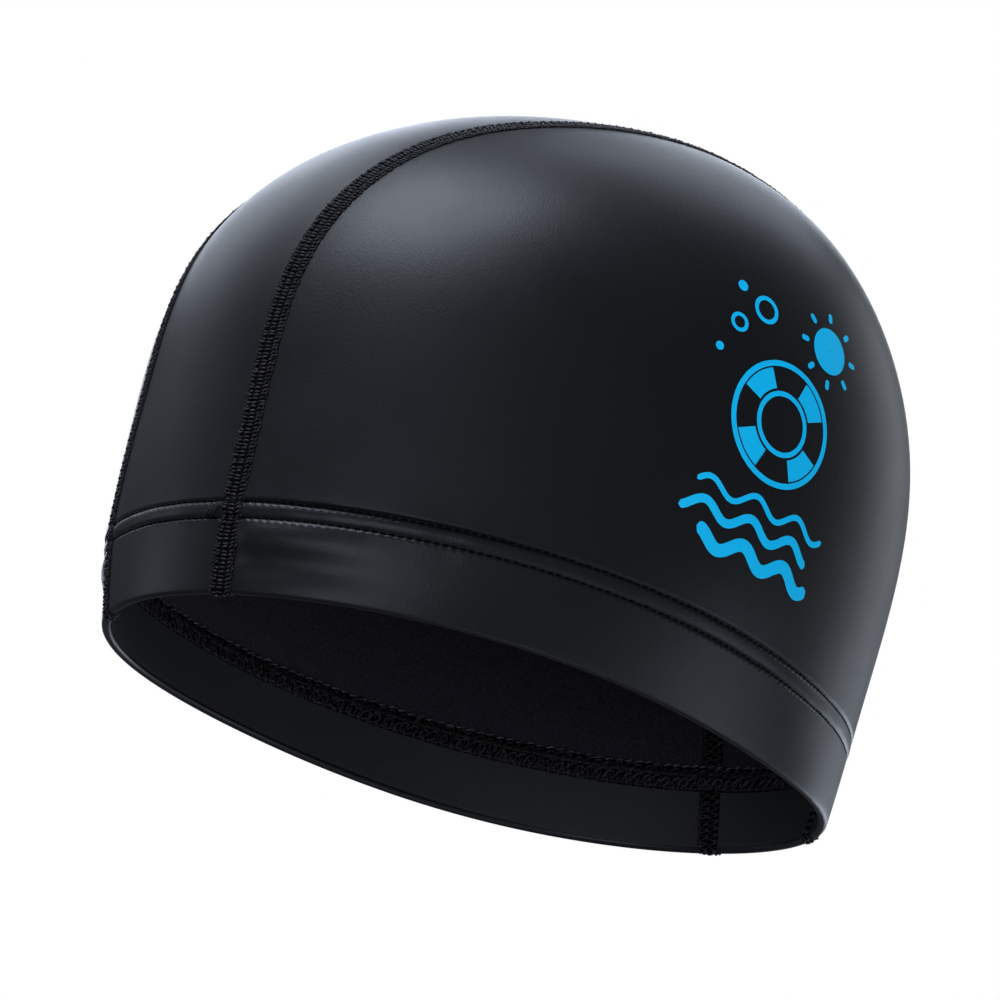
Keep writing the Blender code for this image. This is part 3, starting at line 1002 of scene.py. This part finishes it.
# Inside: three chains of loops, with a thread that runs out to each edge and back.
INNER_SPANS = (
    Span((0.08, -0.76), (0.86, -0.70), 0.14, 0.36, 0.26),
    Span((0.08, 0.02), (0.86, -0.04), 0.14, 0.40, 0.28),
    Span((0.08, 0.72), (0.86, 0.78), 0.14, 0.36, 0.26),
    Span((0.00, -1.05), (0.46, 0.00), 0.16, 0.12, 0.17),
    Span((0.52, 0.00), (0.96, -1.05), 0.16, 0.12, 0.17),
    Span((0.00, 0.00), (0.46, 1.05), 0.16, 0.12, 0.17),
    Span((0.52, 1.05), (0.96, 0.00), 0.16, 0.12, 0.17),
)


@dataclass
class Flatlock:
    """A flatlock seam: a raised ladder of threads outside and a looped band inside, in one ring."""

    form: CapForm
    panel: Panel
    yarns: list[bpy.types.Material]
    side: Side
    half: float = 0.0029
    pitch: float = 0.00190
    jitter: float = 0.00007

    def track(self) -> tuple[Track, float]:
        """The ring over the outside, round each fold and back inside, with the outside's length."""
        form = self.form
        points, turn, bearing = SeamLine(form).stations()
        rise = form.rise_at(turn)
        along = np.concatenate([[0], np.cumsum(np.linalg.norm(np.diff(points, axis=0), axis=1))])
        peak = int(rise.argmax())
        first = float(np.interp(form.fold_rise, rise[: peak + 1], along[: peak + 1]))
        last = float(np.interp(form.fold_rise, rise[peak:][::-1], along[peak:][::-1]))
        at = np.linspace(first, last, int((last - first) / 0.0005))
        turns, bearings = np.interp(at, along, turn), np.interp(at, along, bearing) * self.side.value
        outer, inner = self.panel.wall_faces(turns, bearings)
        normal, _ = form.normal(turns, bearings)
        angle = np.linspace(0, math.pi, 10)[1:-1]
        ring, ring_normals = [outer], [normal]
        for end, order in ((-1, 1), (0, -1)):
            spot = bearings[[end]]
            fold = fold_points(form, spot, angle)[:, 0]
            out, up = form.normal(np.full(1, float(form.turn_at(form.fold_rise))), spot)
            facing = out * np.cos(angle)[:, None] - up * np.sin(angle)[:, None]
            ring.append(fold[::order])
            ring_normals.append(facing[::order])
            if end == -1:
                ring.append(inner[::-1])
                ring_normals.append(-normal[::-1])
        length = float(np.linalg.norm(np.diff(outer, axis=0), axis=1).sum())
        return Track.through(np.concatenate(ring), np.concatenate(ring_normals)), length

    def build(self) -> bpy.types.Object:
        """The band all round, the outer threads outside and the inner loops inside.

        The band has a ring of points at every second station of the track.
        """
        track, outside = self.track()
        mesh = ThreadMesh()
        section = np.array(BAND_SECTION) * (self.half, 0.001)
        ring = slice(0, -1, 2)
        mesh.band(track.points[ring], track.normals[ring], track.across[ring], section)
        margin = math.pi * self.form.fold / 2
        count = round((outside + 2 * margin) / self.pitch)
        start = -margin + np.arange(count)[:, None] * ((outside + 2 * margin) / count)
        self.add_spans(mesh, track, start, OUTER_SPANS)
        rest = track.total - outside - 2 * margin
        count = round(rest / self.pitch)
        start = outside + margin + np.arange(count)[:, None] * (rest / count)
        self.add_spans(mesh, track, start, INNER_SPANS)
        word = self.side.name.lower()
        obj = mesh.build(f"{word}_flatlock", self.yarns)
        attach(obj, "root")
        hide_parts(f"{word}_seam")
        return obj

    def add_spans(self, mesh: ThreadMesh, track: Track, start: Array, spans: tuple[Span, ...]) -> None:
        """Each span of the table at every stitch, its ends moved a little at random.

        Args:
            mesh: where the threads are added.
            track: the seam's ring.
            start: a column of lengths along the ring where the stitches begin.
            spans: the threads of one stitch.
        """
        chance = np.random.default_rng(5 + self.side.value)
        t = np.linspace(0, 1, 5)[None]
        for span in spans:
            ends = [self.jitter * chance.standard_normal(start.shape) for _ in range(4)]
            along = start + ends[0] + (self.pitch * (span.end[0] - span.start[0]) + ends[1]) * t
            along = along + self.pitch * span.start[0]
            across = self.half * (span.start[1] + (span.end[1] - span.start[1]) * t) + ends[2] + ends[3] * t
            full = 1 + 0.30 * np.clip(chance.standard_normal(start.shape), -2, 2)
            height = (span.foot + span.arch * full * np.sin(math.pi * t)) / 1000
            paths, normals = track.place(along, across, height)
            sides = 4 if span.yarn is Yarn.SHADE_BLACK else 5
            mesh.sweep(paths, normals, span.radius / 1000, span.yarn, sides)


@dataclass
class HemStitching:
    """The coverstitch of the hem: two needle rows outside and the looped net inside."""

    form: CapForm
    relief: HemRelief
    yarns: list[bpy.types.Material]
    stitch: float = 0.0021
    needle_radius: float = 0.00019
    net_low: float = 0.0163
    net_high: float = 0.0236
    loop_pitch: float = 0.0026

    def over_seam(self, length: Array, rise: float) -> Array:
        """A share that is 1 at the four places where the flatlock seams cross, and 0 away from them."""
        seam = SeamLine(self.form).branches(np.array([float(self.form.turn_at(rise))]))
        feet = [sign * float(self.form.hem_length(branch)[0]) for branch in seam for sign in (1, -1)]
        return sum(1 - ease(np.abs(length - foot), 0.0024, 0.0042) for foot in feet)

    def places(self, length: Array, rise: Array) -> tuple[Array, Array, Array]:
        """Turns, bearings and outward normals at lengths along the hem and heights above the rim."""
        turn, bearing = np.broadcast_arrays(self.form.turn_at(rise), self.form.bearing_at(length))
        return turn, bearing, self.form.normal(turn, bearing)[0]

    def outside_point(self, length: Array, rise: Array, height: Array) -> tuple[Array, Array]:
        """Points above the coat at lengths along the hem and heights above the rim."""
        turn, bearing, normal = self.places(length, rise)
        lift = self.relief.outside(turn, bearing) + height
        return self.form.point(turn, bearing) + normal * lift[..., None], normal

    def inside_point(self, length: Array, rise: Array, height: Array) -> tuple[Array, Array]:
        """Points above the inside face, with the normals that point into the cap."""
        turn, bearing, normal = self.places(length, rise)
        depth = self.form.inner_depth(self.form.rise_at(turn)) + height
        return self.form.point(turn, bearing) - normal * depth[..., None], -normal

    def span(self) -> tuple[float, float]:
        """The hem's length and where it starts at the nape."""
        ends = self.form.hem_length(np.array([-math.pi, math.pi]))
        return float(ends[1] - ends[0]), float(ends[0])

    def needle_rows(self) -> bpy.types.Object:
        """Short threads sunk in the two grooves, each an arch between two needle holes."""
        mesh = ThreadMesh()
        total, first = self.span()
        count = round(total / self.stitch)
        chance = np.random.default_rng(11)
        t = np.linspace(0, 1, 6)[None]
        for row in self.form.needle_rises:
            start = first + np.arange(count)[:, None] * (total / count)
            at = start + self.stitch * (0.07 + 0.86 * t)
            jog = 0.00005 * chance.standard_normal(start.shape)
            height = 0.00002 + 0.00020 * np.sin(math.pi * t) + 0.00055 * self.over_seam(at, row)
            paths, normals = self.outside_point(at, row + jog + 0 * at, height)
            # the needle threads are in the near-black yarn of the painted shade
            mesh.sweep(paths, normals, self.needle_radius, Yarn.SHADE_BLACK)
        self.add_overlap(mesh)
        obj = mesh.build("needle_rows", self.yarns)
        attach(obj, "root")
        return obj

    def add_overlap(self, mesh: ThreadMesh) -> None:
        """The slanting threads beside the left front seam, where the coverstitch starts and ends."""
        foot = float(self.form.hem_length(np.array([SeamLine(self.form).foot_bearing]))[0])
        low, high = self.form.needle_rises
        t = np.linspace(0, 1, 6)
        shift = np.array([0.0, 0.0009, 0.0018])[:, None]
        at = foot - 0.0072 + shift + 0.0042 * t
        rise = low + (high - low) * t + 0 * at
        height = 0.00030 + 0.00016 * np.sin(math.pi * t) + 0 * at
        paths, normals = self.outside_point(at, rise, height)
        mesh.sweep(paths, normals, self.needle_radius)

    def add_loops(self, mesh: ThreadMesh, total: float, first: float) -> None:
        """The looper threads of the net.

        Each loop is an open oval whose middle is set off from stitch to stitch by chance. A straight
        chain binds the upper edge, in a lighter thread that is painted light, and a zigzag crosses the
        whole band.
        """
        chance = np.random.default_rng(13)
        count = round(total / self.loop_pitch)
        pitch = total / count
        start = first + np.arange(count)[:, None] * pitch
        angle = np.radians(np.linspace(-150, 150, 9))[None]
        for row, shift in ((0.0182, 0.0), (0.0212, 0.5)):
            size = 1 + 0.16 * np.clip(chance.standard_normal(start.shape), -2, 2)
            jog = chance.standard_normal(start.shape)
            at = start + pitch * (shift + 0.52 * size * np.sin(angle)) + 0.0003 * jog
            jog = chance.standard_normal(start.shape)
            rise = row + 0.0015 * size * np.cos(angle + 0.5) + 0.00022 * jog
            height = 0.00034 + 0.00016 * np.cos(2 * angle) + 0.0006 * self.over_seam(at, row)
            paths, normals = self.inside_point(at, rise, height)
            mesh.sweep(paths, normals, 0.00026)
        t = np.linspace(0, 1, 5)[None]
        # the upper chain is in the lighter yarn, painted light on the net's edge
        chains = ((0.0169, 0.00018, Yarn.THREAD), (self.net_high - 0.0003, 0.00024, Yarn.CHAIN))
        for row, radius, yarn in chains:
            at = start + pitch * (0.06 + 0.86 * t)
            height = 0.00020 + 0.00026 * np.sin(math.pi * t) + 0.0006 * self.over_seam(at, row)
            rise = row + 0.00010 * chance.standard_normal(start.shape) + 0.0002 * np.sin(2 * math.pi * t)
            paths, normals = self.inside_point(at, rise, height)
            mesh.sweep(paths, normals, radius, yarn)
        middle, half = (self.net_low + self.net_high) / 2, (self.net_high - self.net_low) / 2
        for way, shift in ((1, 0.0), (-1, 0.5)):
            at = start + pitch * (shift + 0.5 * t)
            rise = middle + way * half * (2 * t - 1) + 0 * at
            paths, normals = self.inside_point(at, rise, 0.00026 + 0.0006 * self.over_seam(at, middle))
            mesh.sweep(paths, normals, 0.00021, sides=4)

    def net(self) -> bpy.types.Object:
        """The looped band over the raw edge, on a thin closed near-black ribbon, painted shade under the
        loops.
        """
        mesh = ThreadMesh()
        total, first = self.span()
        length = first + np.arange(520) * (total / 520)
        rises = np.array([self.net_low, self.net_low, 0.0185, 0.0200, 0.0218, self.net_high, self.net_high])
        heights = np.array([-0.0002, 0.00010, 0.00016, 0.00018, 0.00030, 0.00010, -0.0002])
        lift = 0.0006 * self.over_seam(length, 0.020)[:, None] * (heights > 0)
        base, _ = self.inside_point(length[:, None], rises[None] + 0 * lift, heights[None] + lift)
        mesh.add(base, [grid_faces(*base.shape[:2], wrap_rows=True, wrap_columns=True)], Yarn.SHADE_BLACK)
        self.add_loops(mesh, total, first)
        obj = mesh.build("hem_net", self.yarns)
        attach(obj, "root")
        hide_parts("hem_coverstitch")
        return obj


@dataclass
class PrintedBadge:
    """The print on the left side: a float ring over waves with a sun and bubbles, as a thin film."""

    form: CapForm
    relief: HemRelief
    ink: bpy.types.Material
    centre: tuple[float, float] = (0.0700, 1.652)  # height of its centre, and the bearing in radians
    size: float = 0.93
    film: float = 0.00007
    line: float = 0.0015
    step: float = 0.0008

    def frame(self) -> tuple[Array, Array, Array, Array]:
        """The centre on the coat, then the directions towards the nape, up and outwards."""
        turn = np.array([float(self.form.turn_at(self.centre[0]))])
        bearing = np.array([self.centre[1]])
        normal, up = self.form.normal(turn, bearing)
        return self.form.point(turn, bearing)[0], np.cross(up, normal)[0] * -1, up[0], normal[0]

    def on_coat(self, flat: Array) -> Array:
        """Flat places carried straight onto the coat, along the outward direction of the centre."""
        centre, back, up, out = self.frame()
        foot = centre + flat[..., :1] * back + flat[..., 1:] * up
        low, high = np.full(flat.shape[:-1], -0.04), np.full(flat.shape[:-1], 0.012)
        for _ in range(30):
            middle = (low + high) / 2
            is_in = self.form.inside(foot + middle[..., None] * out)
            low, high = np.where(is_in, middle, low), np.where(is_in, high, middle)
        turn, bearing = self.form.parameters(foot + low[..., None] * out)
        normal, _ = self.form.normal(turn, bearing)
        lift = self.relief.outside(turn, bearing) + self.film
        return self.form.point(turn, bearing) + normal * lift[..., None]

    def ring(
        self, x: float, y: float, inner: float, outer: float, start: float = 0, end: float = 360
    ) -> Array:
        """A flat ring, disc or sector: radius by angle, as a grid of places."""
        around = max(12, int(math.radians(end - start) * outer / self.step))
        angle = np.radians(np.linspace(start, end, around))[None]
        radius = np.linspace(inner, outer, max(2, int((outer - inner) / self.step) + 1))[:, None]
        return np.stack([x + radius * np.cos(angle), y + radius * np.sin(angle)], axis=-1)

    def stroke(self, path: Array, width: float) -> Array:
        """A line with round ends: the path moved to each side by a half width that closes at the ends."""
        ahead = unit(np.gradient(path, axis=0))
        side = np.stack([-ahead[:, 1], ahead[:, 0]], axis=-1)
        length = np.concatenate([[0], np.cumsum(np.linalg.norm(np.diff(path, axis=0), axis=1))])
        gap = np.minimum(length, length[-1] - length)
        half = width / 2 * np.sqrt(np.clip(1 - (1 - np.minimum(gap / (width / 2), 1)) ** 2, 0.0, 1))
        half = np.maximum(half, 0.00004)
        return np.stack([path + side * (half * k)[:, None] for k in (-1, 0, 1)])

    def wave(self, y: float, left: float, right: float, height: float, width: float) -> Array:
        """A wavy line: a sine of one wave every 15 mm."""
        x = np.linspace(left, right, int((right - left) / (self.step * 0.6)))
        return self.stroke(np.stack([x, y + height * np.sin(x * 2 * math.pi / 0.015)], axis=-1), width)

    def ray(self, x: float, y: float, angle: float, near: float, far: float) -> Array:
        """A short straight line that points away from a centre."""
        reach = np.linspace(near, far, 12)[:, None]
        a = math.radians(angle)
        return self.stroke(np.array([x, y]) + reach * np.array([math.cos(a), math.sin(a)]), self.line)

    def shapes(self) -> list[Array]:
        """Each motif of the print as a flat grid."""
        line = self.line
        sun = (-0.0125, 0.0268)
        buoy = (0.0010, 0.0010)
        found = [self.ring(*sun, 0.0002, 0.0062)]
        found += [self.ray(*sun, angle, 0.0080, 0.0108) for angle in range(0, 360, 45)]
        found += [self.ring(*buoy, 0.0150, 0.0150 + line), self.ring(*buoy, 0.0072, 0.0072 + line * 0.9)]
        found += [self.ring(*buoy, 0.0092, 0.0146, a - 21, a + 21) for a in (45, 135, 225, 315)]
        found += [
            self.wave(-0.0215, -0.0225, 0.0225, 0.0019, line),
            self.wave(-0.0275, -0.0190, 0.0255, 0.0019, line * 1.5),
            self.wave(-0.0345, -0.0225, 0.0190, 0.0019, line * 2.2),
        ]
        found += [
            self.ring(0.0105, 0.0290, 0.0026, 0.0026 + line * 0.8),
            self.ring(0.0185, 0.0225, 0.0016, 0.0016 + line * 0.7),
            self.ring(0.0180, 0.0330, 0.0001, 0.0015),
            self.ring(0.0235, 0.0140, 0.0001, 0.0012),
        ]
        return found

    def build(self) -> bpy.types.Object:
        """All motifs as one film, its faces outward."""
        points, faces, count = [], [], 0
        for flat in self.shapes():
            placed = self.on_coat(flat * self.size)
            quads = grid_faces(*flat.shape[:2])
            a, b, d = (placed.reshape(-1, 3)[quads[:, k]] for k in (0, 1, 3))
            facing = np.cross(b - a, d - a).sum(axis=0) @ self.frame()[3]
            faces.append((quads if facing > 0 else quads[:, ::-1]) + count)
            points.append(placed.reshape(-1, 3))
            count += len(points[-1])
        obj = build_object("print_film", np.concatenate(points), faces, [self.ink])
        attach(obj, "root")
        return obj


@dataclass(frozen=True)
class Softbox:
    """A square area light that faces the cap from a direction: azimuth 0 is the front, 90 the left."""

    name: str
    azimuth: float
    elevation: float
    size: float
    power: float
    colour: tuple[float, float, float] = (0.78, 0.86, 1.0)
    mirrored: bool = True  # whether glossy reflections show it
    distance: float = 1.4

    def build(self, target: Vector) -> None:
        """Adds the light, turned to the target."""
        a, e = math.radians(self.azimuth), math.radians(self.elevation)
        out = Vector((math.sin(a) * math.cos(e), -math.cos(a) * math.cos(e), math.sin(e)))
        data = bpy.data.lights.new(self.name, "AREA")
        data.size = self.size
        data.energy = self.power
        data.color = self.colour
        light = bpy.data.objects.new(self.name, data)
        light.visible_camera = False
        light.visible_glossy = self.mirrored
        facing = out.to_track_quat("Z", "Y").to_matrix().to_4x4()
        light.matrix_world = Matrix.Translation(target + out * self.distance) @ facing
        bpy.context.scene.collection.objects.link(light)


@dataclass(frozen=True)
class Studio:
    """Camera at the photograph's angle, a pale floor far below, a white surround and soft lights."""

    target: tuple[float, float, float] = (0.0, -0.01192, 0.060)
    azimuth: float = 58.45
    elevation: float = -17.06
    roll: float = 13.47
    distance: float = 1.589
    lens: float = 235.8
    shift: tuple[float, float] = (0.0160, -0.0172)
    floor_z: float = -1.1
    floor_glow: float = 0.85
    surround: float = 0.11
    surround_colour: tuple[float, float, float] = (0.78, 0.86, 1.0)
    lights: tuple[Softbox, ...] = (
        Softbox("overhead", 1, 56, 0.95, 15.5),
        Softbox("front", 34, -19, 0.7, 3.0),
        Softbox("back_left", -74, 39, 0.8, 3.8),
        Softbox("back_top", -154, 64, 0.9, 4.5),
        Softbox("back_right", -168, 24, 0.7, 1.6, (0.86, 0.92, 1.0)),
        Softbox("back_low", -157, -5, 0.6, 3.8),
        Softbox("behind", -117, 26, 0.9, 10.0),
        Softbox("left", -46, -2, 0.5, 0.9),
        Softbox("right", 144, -24, 0.8, 2.4),
        Softbox("below", 100, -62, 0.9, 1.5),
        Softbox("fill", 78, -8, 1.0, 10.5, (0.92, 0.96, 1.0), mirrored=False),
    )

    def build(self) -> None:
        """Sets the camera, floor, surround and lights, and an even colour response."""
        scene = bpy.context.scene
        self.add_camera(scene)
        self.add_floor(scene)
        self.add_surround(scene)
        for light in self.lights:
            light.build(Vector(self.target))
        scene.view_settings.view_transform = "Standard"

    def add_camera(self, scene: bpy.types.Scene) -> None:
        """The camera looks at the target along the view direction, then is rolled about it."""
        a, e, r = (math.radians(v) for v in (self.azimuth, self.elevation, self.roll))
        back = Vector((math.sin(a) * math.cos(e), -math.cos(a) * math.cos(e), math.sin(e)))
        right = Vector((0, 0, 1)).cross(back).normalized()
        up = back.cross(right)
        rolled_right = right * math.cos(r) + up * math.sin(r)
        rolled_up = up * math.cos(r) - right * math.sin(r)
        place = Matrix((rolled_right, rolled_up, back)).transposed().to_4x4()
        place.translation = Vector(self.target) + back * self.distance
        data = bpy.data.cameras.new("camera")
        data.lens, data.sensor_width = self.lens, 36
        data.shift_x, data.shift_y = self.shift
        camera = bpy.data.objects.new("camera", data)
        camera.matrix_world = place
        scene.collection.objects.link(camera)
        scene.camera = camera

    def add_floor(self, scene: bpy.types.Scene) -> None:
        """A wide white floor that throws no light or reflection on the cap."""
        side = 12.0
        mesh = bpy.data.meshes.new("floor")
        corners = [(x * side, y * side, self.floor_z) for x, y in ((-1, -1), (1, -1), (1, 1), (-1, 1))]
        mesh.from_pydata(corners, [], [(0, 1, 2, 3)])
        material = bpy.data.materials.new("floor_paint")
        kit = NodeKit(material)
        kit.shader.inputs["Base Color"].default_value = (0.9, 0.9, 0.9, 1)
        kit.shader.inputs["Roughness"].default_value = 0.9
        kit.shader.inputs["Emission Color"].default_value = (1, 1, 1, 1)
        kit.shader.inputs["Emission Strength"].default_value = self.floor_glow
        mesh.materials.append(material)
        floor = bpy.data.objects.new("floor", mesh)
        floor.visible_glossy = floor.visible_diffuse = False
        scene.collection.objects.link(floor)

    def add_surround(self, scene: bpy.types.Scene) -> None:
        """White behind the cap, and a dim even light from all round."""
        world = bpy.data.worlds.new("surround")
        world.use_nodes = True
        nodes, links = world.node_tree.nodes, world.node_tree.links
        dim = nodes["Background"]
        dim.inputs["Color"].default_value = (*self.surround_colour, 1)
        dim.inputs["Strength"].default_value = self.surround
        white = nodes.new("ShaderNodeBackground")
        white.inputs["Color"].default_value = (1, 1, 1, 1)
        white.inputs["Strength"].default_value = 1.0
        mixer = nodes.new("ShaderNodeMixShader")
        links.new(nodes.new("ShaderNodeLightPath").outputs["Is Camera Ray"], mixer.inputs["Fac"])
        links.new(dim.outputs["Background"], mixer.inputs[1])
        links.new(white.outputs["Background"], mixer.inputs[2])
        links.new(mixer.outputs["Shader"], nodes["World Output"].inputs["Surface"])
        scene.world = world


def report(obj: bpy.types.Object) -> None:
    """Logs a piece with its number of faces."""
    LOG.info("%s: %d faces", obj.name, len(obj.data.polygons))


def main() -> None:
    """Builds the cap piece by piece, then its studio."""
    logging.basicConfig(level=logging.INFO, format="%(name)s: %(message)s")
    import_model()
    form = CapForm()
    relief = HemRelief(form)
    finishes = Finishes.build()
    centre = CentrePanel(form, relief, finishes)
    report(centre.build())
    for side in Side:
        report(SidePanel(form, relief, finishes, side=side).build())
        report(Flatlock(form, centre, finishes.yarns, side).build())
    stitching = HemStitching(form, relief, finishes.yarns)
    report(stitching.needle_rows())
    report(stitching.net())
    report(PrintedBadge(form, relief, finishes.ink).build())
    Studio().build()


if __name__ == "__main__":
    main()
